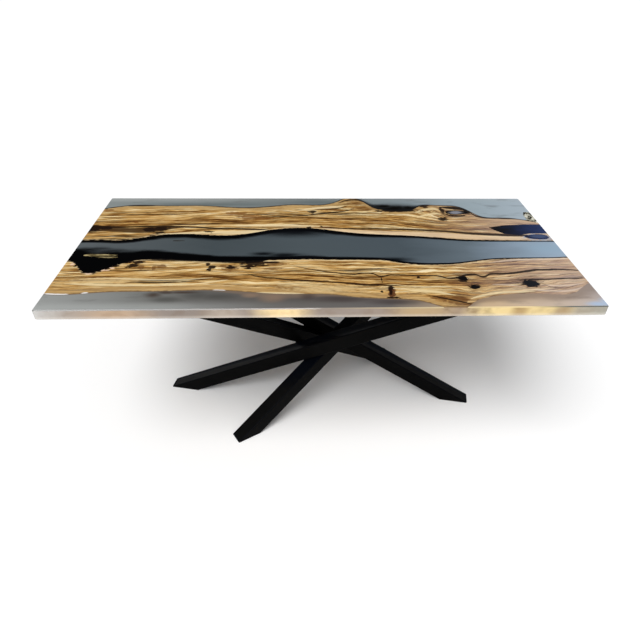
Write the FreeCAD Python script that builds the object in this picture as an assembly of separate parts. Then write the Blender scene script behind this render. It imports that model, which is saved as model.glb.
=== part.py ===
"""A dining table: two live-edge boards cast in smoky resin, on four crossing legs of square tube.

The frame has its origin on the floor under the middle of the top, +X along the top and +Z up.
"""
import FreeCAD, Part
import math
import os

Vector = FreeCAD.Vector

# Lengths are in millimetres, and values named angle are in degrees.

# The finished top, sanded flush on every face
top_length = 1800
top_width = 850
top_thickness = 36
corner_radius = 8
arris = 3

# Loose wood caught in the resin reaches this far down from the surface
splinter_depth = 14

# The base, from the floor to the underside of the top
base_height = 729
tube_size = 60
tube_wall = 3
tube_corner = 4

# The long legs lie flatter and run more nearly along the table than the short ones.
# A reach is the level distance from the table's middle back to a foot, along the leg's own heading.
long_heading_angle = -12
long_slope_angle = 27.9
long_reach = 618
short_heading_angle = 31.4
short_slope_angle = 34.9
short_reach = 405
# The right and back legs are the left and front ones turned half round
half_turn_angle = 180

# Each long leg bites this far into the short leg that it crosses, which is notched to seat it
crossing_bite = 2.5
weld_size = 4
weld_toe = 1

# Mounting plates on the legs' upper ends
plate_thickness = 6
plate_margin = 22
plate_ear = 32
plate_corner = 10
plate_hole_inset = 16

# Closing plates and glides under the legs' feet
foot_plate_thickness = 4
pad_thickness = 3
pad_inset = 2

# Fasteners that hold the plates to the top
bolt_diameter = 8
bolt_grip = 18
head_width = 13
head_height = 5.3
washer_diameter = 17
washer_thickness = 1.6
insert_diameter = 13
insert_length = 20
hole_clearance = 0.5
thread_clearance = 0.1
round_sides = 8
head_sides = 6

# Cutting tools run past what they cut by this much
overrun = 10

# Live edges, from left to right: along the length, then across the width at the surface and
# at the underside. The wood carries on below the resin where the last two differ.
back_board_back_shares = (
    (-0.520, 0.340, 0.350), (-0.485, 0.377, 0.386), (-0.440, 0.406, 0.414), (-0.360, 0.403, 0.409),
    (-0.280, 0.405, 0.411), (-0.190, 0.380, 0.388), (-0.120, 0.391, 0.400), (-0.060, 0.417, 0.424),
    (0.000, 0.412, 0.420), (0.045, 0.455, 0.466), (0.080, 0.513, 0.518), (0.107, 0.462, 0.486),
    (0.135, 0.368, 0.430), (0.175, 0.345, 0.409), (0.218, 0.352, 0.402), (0.245, 0.408, 0.424),
    (0.285, 0.408, 0.416), (0.332, 0.394, 0.403), (0.356, 0.336, 0.345), (0.378, 0.270, 0.280),
    (0.430, 0.259, 0.268), (0.475, 0.230, 0.240), (0.520, 0.176, 0.186),
)
back_board_front_shares = (
    (-0.520, 0.018, 0.002), (-0.460, 0.036, 0.014), (-0.415, 0.034, 0.008), (-0.360, 0.073, 0.036),
    (-0.290, 0.096, 0.058), (-0.240, 0.083, 0.043), (-0.180, 0.084, 0.044), (-0.130, 0.119, 0.082),
    (-0.080, 0.148, 0.112), (-0.020, 0.150, 0.112), (0.030, 0.124, 0.088), (0.100, 0.093, 0.062),
    (0.200, 0.073, 0.050), (0.290, 0.039, 0.023), (0.390, 0.025, 0.014), (0.520, 0.019, 0.010),
)
front_board_back_shares = (
    (-0.520, -0.132, -0.060), (-0.476, -0.180, -0.062), (-0.448, -0.243, -0.064), (-0.420, -0.206, -0.066),
    (-0.388, -0.152, -0.066), (-0.345, -0.126, -0.070), (-0.270, -0.142, -0.103), (-0.170, -0.152, -0.120),
    (-0.050, -0.137, -0.112), (0.080, -0.144, -0.123), (0.118, -0.147, -0.129), (0.165, -0.177, -0.162),
    (0.220, -0.187, -0.175), (0.285, -0.171, -0.163), (0.325, -0.150, -0.143), (0.400, -0.138, -0.131),
    (0.520, -0.125, -0.119),
)
front_board_front_shares = (
    (-0.520, -0.381, -0.376), (-0.465, -0.398, -0.390), (-0.400, -0.383, -0.376), (-0.300, -0.379, -0.374),
    (-0.200, -0.374, -0.384), (-0.120, -0.394, -0.428), (-0.050, -0.404, -0.437), (0.005, -0.406, -0.424),
    (0.050, -0.426, -0.434), (0.120, -0.441, -0.449), (0.180, -0.467, -0.474), (0.235, -0.518, -0.522),
    (0.266, -0.462, -0.488), (0.305, -0.427, -0.474), (0.370, -0.410, -0.470), (0.420, -0.417, -0.473),
    (0.455, -0.410, -0.469), (0.475, -0.378, -0.460), (0.520, -0.320, -0.440),
)

# Hollows in the boards that the resin filled: middle along and across, half length, half width,
# how much smaller they are at the underside, and how far they swell or pinch
back_hollow_shares = (
    (0.322, 0.325, 0.028, 0.026, 0.70, 0.10),
    (0.470, 0.061, 0.027, 0.026, 0.60, -0.08),
)
front_hollow_shares = (
    (0.386, -0.339, 0.014, 0.024, 0.55, 0.20),
    (0.263, -0.299, 0.008, 0.017, 0.55, -0.18),
    (0.277, -0.363, 0.008, 0.014, 0.55, 0.22),
)
# The rot pocket that opens on the right-hand end, from its pointed tip round to its lower lip
rot_pocket_shares = (
    (0.376, 0.157), (0.412, 0.180), (0.460, 0.189), (0.520, 0.189),
    (0.520, 0.097), (0.458, 0.094), (0.432, 0.077), (0.402, 0.092), (0.390, 0.116),
)
rot_pocket_under_share = 0.85
# Burl caught in the resin beside the right-hand end, and splinters caught in the river
burl_shares = (0.494, 0.250, 0.019, 0.080, 0.75, 0.12)
splinter_shares = (
    (-0.444, -0.098, 0.034, 0.010, 0.40, 0.10),
    (-0.424, -0.116, 0.022, 0.005, 0.40, -0.15),
    (-0.300, 0.030, 0.013, 0.004, 0.40, 0.15),
)
loop_points = 12
loop_lobes = 3

surface = base_height + top_thickness
tube_low = pad_thickness + foot_plate_thickness
tube_high = base_height - plate_thickness
span = top_length + top_width


def rectangle(length, width):
    """A flat face about the origin with sharp corners."""
    corners = [Vector(a * length / 2, b * width / 2, 0) for a, b in ((1, 1), (-1, 1), (-1, -1), (1, -1))]
    return Part.Face(Part.makePolygon(corners + corners[:1]))


def rounded_rectangle(length, width, radius):
    """A flat face about the origin with four rounded corners."""
    slab = rectangle(length, width).extrude(Vector(0, 0, radius))
    uprights = [edge for edge in slab.Edges if edge.BoundBox.ZLength > radius / 2]
    return min(slab.makeFillet(radius, uprights).Faces, key=lambda face: face.CenterOfMass.z)


def blank_board():
    """The whole top as one rounded blank, before it is told apart into wood and resin."""
    blank = rounded_rectangle(top_length, top_width, corner_radius)
    blank.translate(Vector(0, 0, base_height))
    blank = blank.extrude(Vector(0, 0, top_thickness))
    rims = [edge for edge in blank.Edges if edge.BoundBox.ZLength < arris]
    return blank.makeChamfer(arris, rims)


def live_edge(rows, level):
    """One live edge as a smooth curve at one level, on the slope from the surface to the underside."""
    depth_share = (surface - level) / top_thickness
    points = []
    for along, at_surface, at_underside in rows:
        across = at_surface + (at_underside - at_surface) * depth_share
        points.append(Vector(along * top_length, across * top_width, level))
    curve = Part.BSplineCurve()
    curve.interpolate(points)
    return curve.toShape()


def live_edge_board(back_rows, front_rows):
    """A board between two live edges, before it is planed to the surface and the underside."""
    outlines = []
    for level in (surface + overrun, base_height - overrun):
        back = live_edge(back_rows, level)
        front = live_edge(front_rows, level)
        left = Part.makeLine(front.firstVertex().Point, back.firstVertex().Point)
        right = Part.makeLine(back.lastVertex().Point, front.lastVertex().Point)
        outlines.append(Part.Wire(Part.__sortEdges__([back, right, front, left])))
    return Part.makeLoft(outlines, True, True)


def loop(row, level, depth):
    """A closed, split-edged outline at one level, of full size at the surface and smaller at a depth."""
    along, across, half_length, half_width, under, swell = row
    taper = 1 - (1 - under) * (surface - level) / depth
    points = []
    for step in range(loop_points):
        angle = 2 * math.pi * step / loop_points
        size = taper * (1 + swell * math.cos(loop_lobes * angle))
        points.append(Vector((along + half_length * size * math.cos(angle)) * top_length,
                             (across + half_width * size * math.sin(angle)) * top_width, level))
    return Part.makePolygon(points + points[:1])


def plug(row, depth, past_depth):
    """A tapered lump from above the surface down past a depth."""
    levels = (surface + overrun, surface - depth - past_depth)
    return Part.makeLoft([loop(row, level, depth) for level in levels], True, True)


def rot_pocket():
    """The pocket that opens on the end: straight-sided, as split wood is, and narrower below."""
    tip_across = rot_pocket_shares[0][1]
    outlines = []
    for level in (surface + overrun, base_height - overrun):
        taper = 1 - (1 - rot_pocket_under_share) * (surface - level) / top_thickness
        points = [Vector(along * top_length, (tip_across + (across - tip_across) * taper) * top_width, level)
                  for along, across in rot_pocket_shares]
        outlines.append(Part.makePolygon(points + points[:1]))
    return Part.makeLoft(outlines, True, True)


def resin_places(solids):
    """Names for the separate bodies of resin: the river between the boards and the strips outside them."""
    river = min(solids, key=lambda solid: abs(solid.CenterOfMass.y))
    places = {"resin_river": river}
    for solid in solids:
        if solid is not river:
            centre = solid.CenterOfMass
            edge = "front" if centre.y < 0 else "back"
            hand = "left" if centre.x < 0 else "right"
            places[f"resin_{edge}_{hand}"] = solid
    return places


def top_pieces():
    """Every piece of the top: boards, the resin between and round them, and what either one holds."""
    blank = blank_board()
    boards = {
        "front_board": live_edge_board(front_board_back_shares, front_board_front_shares).common(blank),
        "back_board": live_edge_board(back_board_back_shares, back_board_front_shares).common(blank),
    }
    hollows = {
        "front_board": [plug(row, top_thickness, overrun) for row in front_hollow_shares],
        "back_board": [plug(row, top_thickness, overrun) for row in back_hollow_shares] + [rot_pocket()],
    }
    pieces = resin_places(blank.cut(list(boards.values())).Solids)
    for name, board in boards.items():
        pieces[name] = board.cut(hollows[name])
        pieces[name + "_resin_fills"] = Part.makeCompound([board.common(hollow) for hollow in hollows[name]])

    burl = plug(burl_shares, top_thickness, overrun).common(blank).cut(boards["back_board"])
    splinters = [plug(row, splinter_depth, 0).common(blank) for row in splinter_shares]
    pieces["burl_fragment"] = burl
    pieces["river_splinters"] = Part.makeCompound(splinters)
    pieces["resin_river"] = pieces["resin_river"].cut(splinters)
    pieces["resin_back_right"] = pieces["resin_back_right"].cut(burl)
    return pieces


def leg_frame(turn, slope):
    """A leg's level heading, the level direction to its left, and its own axis."""
    turn = math.radians(turn)
    slope = math.radians(slope)
    run = Vector(math.cos(turn), math.sin(turn), 0)
    side = Vector(-math.sin(turn), math.cos(turn), 0)
    return run, side, run * math.cos(slope) + Vector(0, 0, math.sin(slope))


def half_depth(side, normal):
    """How far a tube reaches from its axis in a direction square to that axis."""
    across = abs(side.dot(normal))
    along = math.sqrt(max(0, 1 - across * across))
    return (tube_size / 2 - tube_corner) * (across + along) + tube_corner


def crossing(other_turn, other_above):
    """One row of the two equations that set the legs aside from the middle until they touch."""
    run, side, axis = leg_frame(long_heading_angle, long_slope_angle)
    other_run, other_side, other_axis = leg_frame(other_turn, short_slope_angle)
    normal = axis.cross(other_axis).normalize()
    if (normal.z > 0) != other_above:
        normal = -normal
    apart = half_depth(side, normal) + half_depth(other_side, normal) - crossing_bite
    from_feet = long_reach * run.dot(normal) - short_reach * other_run.dot(normal)
    return side.dot(normal), -other_side.dot(normal), apart - from_feet


def leg_asides():
    """How far the long and the short legs pass to the right of the table's middle."""
    a1, b1, c1 = crossing(short_heading_angle, False)
    a2, b2, c2 = crossing(short_heading_angle + half_turn_angle, True)
    whole = a1 * b2 - a2 * b1
    return (c1 * b2 - c2 * b1) / whole, (a1 * c2 - a2 * c1) / whole


def legs():
    """The four legs by name: heading, slope and the point where the axis meets the floor."""
    long_aside, short_aside = leg_asides()
    table = {
        "left_leg": (long_heading_angle, long_slope_angle, long_reach, long_aside),
        "right_leg": (long_heading_angle + half_turn_angle, long_slope_angle, long_reach, long_aside),
        "front_leg": (short_heading_angle, short_slope_angle, short_reach, short_aside),
        "back_leg": (short_heading_angle + half_turn_angle, short_slope_angle, short_reach, short_aside),
    }
    placed = {}
    for name, (turn, slope, reach, aside) in table.items():
        run, side, _ = leg_frame(turn, slope)
        placed[name] = (turn, slope, run * -reach - side * aside)
    return placed


def point_at(leg, height):
    """Where a leg's axis passes a height."""
    turn, slope, foot = leg
    return foot + leg_frame(turn, slope)[2] * (height / math.sin(math.radians(slope)))


def leg_bar(leg, profile, low, high):
    """A bar of a given profile along a leg, with upright sides, cut level at two heights."""
    _, side, axis = leg_frame(leg[0], leg[1])
    start = point_at(leg, low - 2 * tube_size)
    finish = point_at(leg, high + 2 * tube_size)
    profile.Placement = FreeCAD.Placement(start, FreeCAD.Rotation(side, axis.cross(side), axis, "ZXY"))
    between = Part.makeBox(2 * span, 2 * span, high - low, Vector(-span, -span, low))
    return profile.extrude(finish - start).common(between)


def level_plate(leg, plate, low, thickness):
    """A level plate of a given outline, centred on a leg's axis and turned with the leg."""
    plate.rotate(Vector(0, 0, 0), Vector(0, 0, 1), leg[0])
    plate.translate(point_at(leg, low))
    return plate.extrude(Vector(0, 0, thickness))


def cut_length(leg):
    """The length of a leg's level end."""
    return tube_size / math.sin(math.radians(leg[1]))


def envelope(leg):
    """The outer shape of a leg's tube."""
    return leg_bar(leg, rounded_rectangle(tube_size, tube_size, tube_corner), tube_low, tube_high)


def leg_tube(leg):
    """A leg's hollow tube."""
    bore_size = tube_size - 2 * tube_wall
    return envelope(leg).cut(leg_bar(leg, rectangle(bore_size, bore_size), tube_low, tube_high))


def crossing_weld(one, two):
    """The bead round the place where two legs meet, before the legs themselves are cut from it."""
    size = tube_size + 2 * weld_size
    grown = [leg_bar(leg, rounded_rectangle(size, size, tube_corner + weld_size), tube_low, tube_high)
             for leg in (one, two)]
    return grown[0].common(grown[1])


def plate_weld(leg):
    """The fillet bead round a leg under its mounting plate."""
    outlines = []
    for height, size in ((tube_high, weld_size), (tube_high - weld_size, weld_toe)):
        ring = rectangle(cut_length(leg) + 2 * size, tube_size + 2 * size)
        ring.rotate(Vector(0, 0, 0), Vector(0, 0, 1), leg[0])
        ring.translate(point_at(leg, height))
        outlines.append(ring.OuterWire)
    return Part.makeLoft(outlines, True, True).cut(envelope(leg))


def bolt_points(leg):
    """The four places, at the top's underside, where a mounting plate is bolted."""
    run, side, _ = leg_frame(leg[0], leg[1])
    middle = point_at(leg, tube_high) + Vector(0, 0, plate_thickness)
    half_along = cut_length(leg) / 2 + plate_margin - plate_hole_inset
    half_across = tube_size / 2 + plate_ear - plate_hole_inset
    return [middle + run * (half_along * a) + side * (half_across * b)
            for a, b in ((1, 1), (-1, 1), (-1, -1), (1, -1))]


def upright_prism(diameter, sides, low, height):
    """An upright prism of equal sides about the origin, measured across its corners."""
    angles = [2 * math.pi * side / sides for side in range(sides)]
    corners = [Vector(math.cos(angle), math.sin(angle), 0) * (diameter / 2) for angle in angles]
    face = Part.Face(Part.makePolygon(corners + corners[:1]))
    face.translate(Vector(0, 0, low))
    return face.extrude(Vector(0, 0, height))


def small_round(diameter, low, height):
    """A small upright round, faceted because there are many of them."""
    return upright_prism(diameter, round_sides, low, height)


def mounting_plate(leg):
    """The plate welded across a leg's upper end, with its bolt holes."""
    outline = rounded_rectangle(cut_length(leg) + 2 * plate_margin, tube_size + 2 * plate_ear, plate_corner)
    plate = level_plate(leg, outline, tube_high, plate_thickness)
    hole_low = -plate_thickness - overrun
    hole = small_round(bolt_diameter + 2 * hole_clearance, hole_low, overrun - hole_low)
    return plate.cut(repeated(hole, bolt_points(leg)))


def foot_plate(leg):
    """The plate that closes a foot, ground flush with the tube's faces."""
    return leg_bar(leg, rounded_rectangle(tube_size, tube_size, tube_corner), pad_thickness, tube_low)


def foot_pad(leg):
    """The glued glide under a foot, a little smaller than the plate that it is on."""
    outline = rectangle(cut_length(leg) - 2 * pad_inset, tube_size - 2 * pad_inset)
    return level_plate(leg, outline, pad_thickness, -pad_thickness)


def washer():
    """A washer under the mounting plate, about the bolt's axis with the top's underside at zero."""
    low = -plate_thickness - washer_thickness
    hole = small_round(bolt_diameter + 2 * hole_clearance, low, washer_thickness)
    return small_round(washer_diameter, low, washer_thickness).cut(hole)


def bolt():
    """A hexagon-head bolt pointing up, about its own axis with the top's underside at zero."""
    seat = -plate_thickness - washer_thickness
    across_corners = head_width / math.cos(math.pi / head_sides)
    head = upright_prism(across_corners, head_sides, seat - head_height, head_height)
    return head.fuse(small_round(bolt_diameter, seat, bolt_grip - seat))


def insert():
    """A threaded sleeve let into the underside of the top."""
    bore = small_round(bolt_diameter + 2 * thread_clearance, 0, insert_length)
    return small_round(insert_diameter, 0, insert_length).cut(bore)


def repeated(shape, points):
    """Copies of one shape as a group of separate solids."""
    copies = []
    for point in points:
        copy = shape.copy()
        copy.translate(point)
        copies.append(copy)
    return Part.makeCompound(copies)


def base_pieces():
    """Every piece of the base."""
    placed = legs()
    long_legs = (placed["left_leg"], placed["right_leg"])
    short_legs = (placed["front_leg"], placed["back_leg"])
    seats = [envelope(leg) for leg in long_legs]
    envelopes = [envelope(leg) for leg in placed.values()]
    pieces = {}
    for name, leg in placed.items():
        tube = leg_tube(leg)
        pieces[name + "_tube"] = tube.cut(seats) if leg in short_legs else tube
        pieces[name + "_mounting_plate"] = mounting_plate(leg)
        pieces[name + "_foot_plate"] = foot_plate(leg)
        pieces[name + "_pad"] = foot_pad(leg)
    beads = [crossing_weld(one, two).cut(envelopes) for one in long_legs for two in short_legs]
    pieces["crossing_welds"] = Part.makeCompound(beads)
    pieces["plate_welds"] = Part.makeCompound([plate_weld(leg) for leg in placed.values()])
    return pieces


def fasteners():
    """Bolts, washers and threaded inserts, each kind as one group, and the holes for the inserts."""
    points = [point for leg in legs().values() for point in bolt_points(leg)]
    hole = small_round(insert_diameter, 0, insert_length)
    groups = {"bolts": bolt(), "washers": washer(), "threaded_inserts": insert()}
    return {name: repeated(shape, points) for name, shape in groups.items()}, repeated(hole, points)


def main():
    os.makedirs("parts", exist_ok=True)
    hardware, insert_holes = fasteners()
    pieces = {name: shape.cut(insert_holes) for name, shape in top_pieces().items()}
    pieces.update(base_pieces())
    pieces.update(hardware)
    for name, shape in pieces.items():
        shape.exportStep(f"parts/{name}.step")
        print(f"{name}: {len(shape.Solids)} solid(s), {shape.Volume / 1000:.1f} cm3, valid {shape.isValid()}")
    print("legs stand aside from the middle by", [round(aside, 1) for aside in leg_asides()])


main()
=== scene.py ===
# %% [markdown]
# # A dining table of live-edge boards in smoky resin
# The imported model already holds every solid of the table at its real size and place. This lesson
# dresses it: two boards of streaky hardwood, the smoky resin cast between and round them, the powder-
# coated base of square tube, and the fasteners under the top. Nothing is moved, so the looks always fit
# the model.

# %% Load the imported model
import math
import bmesh
import bpy
from mathutils import Matrix, Vector
from mathutils.bvhtree import BVHTree


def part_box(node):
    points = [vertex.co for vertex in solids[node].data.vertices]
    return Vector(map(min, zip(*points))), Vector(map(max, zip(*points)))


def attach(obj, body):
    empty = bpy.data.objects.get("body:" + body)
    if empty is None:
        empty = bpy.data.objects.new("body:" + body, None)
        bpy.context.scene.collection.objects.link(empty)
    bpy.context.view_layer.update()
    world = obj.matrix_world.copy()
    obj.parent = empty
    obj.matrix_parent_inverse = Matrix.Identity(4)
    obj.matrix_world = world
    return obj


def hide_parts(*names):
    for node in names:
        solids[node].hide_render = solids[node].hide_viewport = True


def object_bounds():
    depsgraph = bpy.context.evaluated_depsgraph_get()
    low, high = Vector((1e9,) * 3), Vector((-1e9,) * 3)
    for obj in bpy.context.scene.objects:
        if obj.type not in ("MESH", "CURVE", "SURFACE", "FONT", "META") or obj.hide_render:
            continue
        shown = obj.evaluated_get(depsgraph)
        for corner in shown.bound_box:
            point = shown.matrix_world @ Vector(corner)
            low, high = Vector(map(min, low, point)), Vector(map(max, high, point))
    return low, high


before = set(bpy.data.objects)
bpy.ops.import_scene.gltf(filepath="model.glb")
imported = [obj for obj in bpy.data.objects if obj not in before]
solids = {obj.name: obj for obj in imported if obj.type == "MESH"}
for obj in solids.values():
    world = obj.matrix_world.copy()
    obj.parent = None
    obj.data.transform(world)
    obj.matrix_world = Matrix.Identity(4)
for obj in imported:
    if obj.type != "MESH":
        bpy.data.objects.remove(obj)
cad_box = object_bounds()
top_length = cad_box[1].x - cad_box[0].x
top_width = cad_box[1].y - cad_box[0].y
surface = cad_box[1].z
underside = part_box("front_board")[0].z
print("solids:", len(solids))
print("top:", round(top_length, 3), "x", round(top_width, 3), "m, surface at", round(surface, 3))

# %% [markdown]
# ## Camera
# The photograph looks down on the long side from standing height. The camera's place and turn were
# worked out from the top's four corners and the legs, so it is written here as numbers: where it
# stands, which way it faces, and a small shift, because the photograph was cropped a little off centre.
#
# With the camera known, a mark on the wood needs no measuring: the pixel where the photograph shows it
# is cast on to the surface. The tables of marks below are such pixels.

# %% Camera
camera_place = Vector((-0.0801, -1.7268, 1.6761))
camera_yaw = math.radians(2.9584)
camera_pitch = math.radians(37.0536)
camera_roll = math.radians(-1.2543)
focal_pixels = 512.12
picture_pixels = 640
middle_pixels = (322.52, 327.15)

ahead = Vector((math.sin(camera_yaw) * math.cos(camera_pitch), math.cos(camera_yaw) * math.cos(camera_pitch),
                -math.sin(camera_pitch)))
level_right = Vector((math.cos(camera_yaw), -math.sin(camera_yaw), 0))
level_down = ahead.cross(level_right)
right = level_right * math.cos(camera_roll) + level_down * math.sin(camera_roll)
down = level_down * math.cos(camera_roll) - level_right * math.sin(camera_roll)

lens = bpy.data.cameras.new("photo_camera")
lens.sensor_width = 36
lens.lens = focal_pixels / picture_pixels * lens.sensor_width
lens.shift_x = (picture_pixels / 2 - middle_pixels[0]) / picture_pixels
lens.shift_y = (middle_pixels[1] - picture_pixels / 2) / picture_pixels
camera = bpy.data.objects.new("photo_camera", lens)
camera.matrix_world = Matrix.Translation(camera_place) @ Matrix((right, -down, -ahead)).transposed().to_4x4()
bpy.context.collection.objects.link(camera)
bpy.context.scene.camera = camera


def on_surface(pixel_x, pixel_y):
    """The place (along, across), in metres, that a pixel of the photograph shows on the surface."""
    ray = ahead * focal_pixels + right * (pixel_x - middle_pixels[0]) + down * (pixel_y - middle_pixels[1])
    hit = camera_place + ray * ((surface - camera_place.z) / ray.z)
    return hit.x, hit.y


print("camera: lens", round(lens.lens, 2), "mm, middle of the picture at", on_surface(*middle_pixels))

# %% [markdown]
# ## A short way to write materials
# A procedural material is a sum: place in, colour out. Wiring each Math node by hand hides the sum, so
# a small class lets a node's output be added and multiplied like a number, and each operation adds its
# node.

# %% Wires
def doing(operation):
    """A method of a wire that adds a Math node for one operation."""
    return lambda wire, *others: wire.sum(operation, wire, *others)


class Wire:
    """A value in a material's node tree. Sums of wires add Math nodes to that tree."""

    def __init__(self, socket):
        self.socket = socket
        self.tree = socket.id_data

    def sum(self, operation, *values):
        node = self.tree.nodes.new("ShaderNodeMath")
        node.operation = operation
        for value, socket in zip(values, node.inputs):
            join(value, socket)
        return Wire(node.outputs[0])

    __add__ = doing("ADD")
    __sub__ = doing("SUBTRACT")
    __mul__ = doing("MULTIPLY")
    __truediv__ = doing("DIVIDE")
    __pow__ = doing("POWER")
    __abs__ = doing("ABSOLUTE")
    at_least = doing("MAXIMUM")

    def rise(self, low, high):
        """0 up to low, 1 from high and smooth between; low may be the larger, and then it falls."""
        node = self.tree.nodes.new("ShaderNodeMapRange")
        node.interpolation_type = "SMOOTHSTEP"
        for value, socket in zip((self, low, high), node.inputs):
            join(value, socket)
        return Wire(node.outputs[0])


def join(value, socket):
    """Links a wire to a socket, or sets the socket to a plain value."""
    if isinstance(value, Wire):
        value.tree.links.new(value.socket, socket)
    else:
        socket.default_value = value


def fit(node, inputs):
    """Links or sets a node's inputs by their names."""
    for name, value in inputs.items():
        join(value, node.inputs[name])


print("wires ready")

# %% Nodes that give a place, a pattern or a line
def split(vector):
    """The three parts of a vector socket, as wires."""
    parts = vector.id_data.nodes.new("ShaderNodeSeparateXYZ")
    vector.id_data.links.new(vector, parts.inputs[0])
    return [Wire(socket) for socket in parts.outputs]


def facing_wires(tree):
    """Which way the surface faces, as three wires."""
    return split(tree.nodes.new("ShaderNodeNewGeometry").outputs["Normal"])


def cloud(x, y, z=0.0, detail=2.0, roughness=0.5):
    """Noise from about 0 to 1. Each place comes multiplied by how often the pattern repeats in a metre."""
    place = x.tree.nodes.new("ShaderNodeCombineXYZ")
    fit(place, {"X": x, "Y": y, "Z": z})
    node = x.tree.nodes.new("ShaderNodeTexNoise")
    fit(node, {"Vector": Wire(place.outputs[0]), "Scale": 1.0, "Detail": detail, "Roughness": roughness})
    return Wire(node.outputs[0])


def line_at(x, points, straight=False):
    """The place across the table, in metres, of a line through points (along, across), read at x."""
    node = x.tree.nodes.new("ShaderNodeFloatCurve")
    node.mapping.extend = "HORIZONTAL"
    line = node.mapping.curves[0]
    places = [(a / top_length + 0.5, b / top_width + 0.5) for a, b in points]
    line.points[0].location = places[0]
    line.points[1].location = places[-1]
    for a, b in places[1:-1]:
        line.points.new(a, b)
    for point in line.points:
        point.handle_type = "VECTOR" if straight else "AUTO_CLAMPED"
    node.mapping.update()
    join(x / top_length + 0.5, node.inputs["Value"])
    return (Wire(node.outputs[0]) - 0.5) * top_width


print("places, clouds and lines ready")

# %% Nodes that give a colour or a surface
# The Mix node has sockets of one name for numbers, vectors and colours, so those for colours go by number
mix_share, mix_under, mix_over, mix_result = 0, 6, 7, 2


def shade(code):
    """A colour written the way a paint chip is, turned into the linear values that Blender works in."""
    parts = [int(code[i:i + 2], 16) / 255 for i in (1, 3, 5)]
    return tuple(p / 12.92 if p <= 0.04045 else ((p + 0.055) / 1.055) ** 2.4 for p in parts) + (1.0,)


def paint(share, under, over):
    """One colour laid over another by a share from 0 to 1."""
    node = share.tree.nodes.new("ShaderNodeMix")
    node.data_type = "RGBA"
    for value, number in ((share, mix_share), (under, mix_under), (over, mix_over)):
        join(value, node.inputs[number])
    return Wire(node.outputs[mix_result])


def tones(share, *stops):
    """A colour read from a row of stops, each a place from 0 to 1 and a colour."""
    node = share.tree.nodes.new("ShaderNodeValToRGB")
    row = node.color_ramp.elements
    while len(row) < len(stops):
        row.new(1.0)
    for element, (place, colour) in zip(row, stops):
        element.position = place
        element.color = shade(colour)
    join(share, node.inputs[0])
    return Wire(node.outputs[0])


def finish(name):
    """A new material, its shader, and where a point of the table is, in metres, as three wires."""
    material = bpy.data.materials.new(name)
    material.use_nodes = True
    place = material.node_tree.nodes.new("ShaderNodeTexCoord").outputs["Object"]
    return material, material.node_tree.nodes["Principled BSDF"], split(place)


def rub(shader, height, strength, distance):
    """Bumps a surface by a wire of heights."""
    node = height.tree.nodes.new("ShaderNodeBump")
    fit(node, {"Strength": strength, "Distance": distance, "Height": height})
    fit(shader, {"Normal": Wire(node.outputs[0])})


print("colours and surfaces ready")

# %% [markdown]
# ## Light and floor
# A polished top is a mirror as much as a surface, so what it mirrors matters. Seen from the camera it
# mirrors the room behind the table. That side is kept almost black, so that the dark resin stays dark,
# apart from one faint glow far to the right. The light itself comes from behind and above the camera: a
# broad sun and a bright half of the room. So dark a room would also be seen behind the table in low
# views, so rays that come straight from the camera see a white backdrop in its place.

# %% Room
room_lights = (
    ("room behind the camera", (0.0, -0.75, 0.66), 1.0, "#ffffff", 0.85),
    ("faint glow to the right", (0.66, 0.62, 0.42), 34.0, "#e2ebfb", 0.7))
dim_rest = 0.006
room = bpy.data.worlds.new("studio_room")
room.use_nodes = True
bpy.context.scene.world = room
room_tree = room.node_tree
room_tree.nodes.clear()
looking = room_tree.nodes.new("ShaderNodeTexCoord")


def room_light(name, aim, narrowness, colour, strength):
    """Light that is strongest from one aim, and fades the faster away from it the higher its narrowness."""
    towards = room_tree.nodes.new("ShaderNodeVectorMath")
    towards.operation = "DOT_PRODUCT"
    towards.inputs[1].default_value = Vector(aim).normalized()
    room_tree.links.new(looking.outputs["Generated"], towards.inputs[0])
    share = Wire(towards.outputs["Value"]).at_least(0.0) ** narrowness
    glow = room_tree.nodes.new("ShaderNodeBackground")
    glow.label = name
    fit(glow, {"Color": shade(colour), "Strength": share * strength + dim_rest})
    return glow.outputs[0]


both = room_tree.nodes.new("ShaderNodeAddShader")
for light, socket in zip(room_lights, both.inputs):
    room_tree.links.new(room_light(*light), socket)
backdrop = room_tree.nodes.new("ShaderNodeBackground")
backdrop.label = "white backdrop, seen but not mirrored"
backdrop.inputs["Color"].default_value = (1, 1, 1, 1)
seen_straight = room_tree.nodes.new("ShaderNodeLightPath")
chosen = room_tree.nodes.new("ShaderNodeMixShader")
room_tree.links.new(seen_straight.outputs["Is Camera Ray"], chosen.inputs[0])
room_tree.links.new(both.outputs[0], chosen.inputs[1])
room_tree.links.new(backdrop.outputs[0], chosen.inputs[2])
room_tree.links.new(chosen.outputs[0], room_tree.nodes.new("ShaderNodeOutputWorld").inputs["Surface"])
print("room:", len(room_lights), "lights in", len(room_tree.nodes), "nodes")

# %% Sun and floor
sun_from = Vector((-0.35, -0.55, 1.0))
sun = bpy.data.lights.new("soft_sun", "SUN")
sun.energy = 2.5
sun.angle = math.radians(40)
sun_object = bpy.data.objects.new("soft_sun", sun)
sun_object.rotation_euler = sun_from.to_track_quat("Z", "Y").to_euler()
bpy.context.collection.objects.link(sun_object)

bpy.ops.mesh.primitive_plane_add(size=200)
floor = bpy.context.object
floor.name = "pale_floor"
floor_finish = bpy.data.materials.new("pale_floor")
floor_finish.use_nodes = True
floor_shader = floor_finish.node_tree.nodes["Principled BSDF"]
fit(floor_shader, {"Base Color": (0.96, 0.96, 0.96, 1), "Roughness": 0.9, "Specular IOR Level": 0.1})
floor.data.materials.append(floor_finish)
bpy.context.scene.view_settings.view_transform = "Standard"
print("sun:", sun.energy, "over", floor.name)

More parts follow.
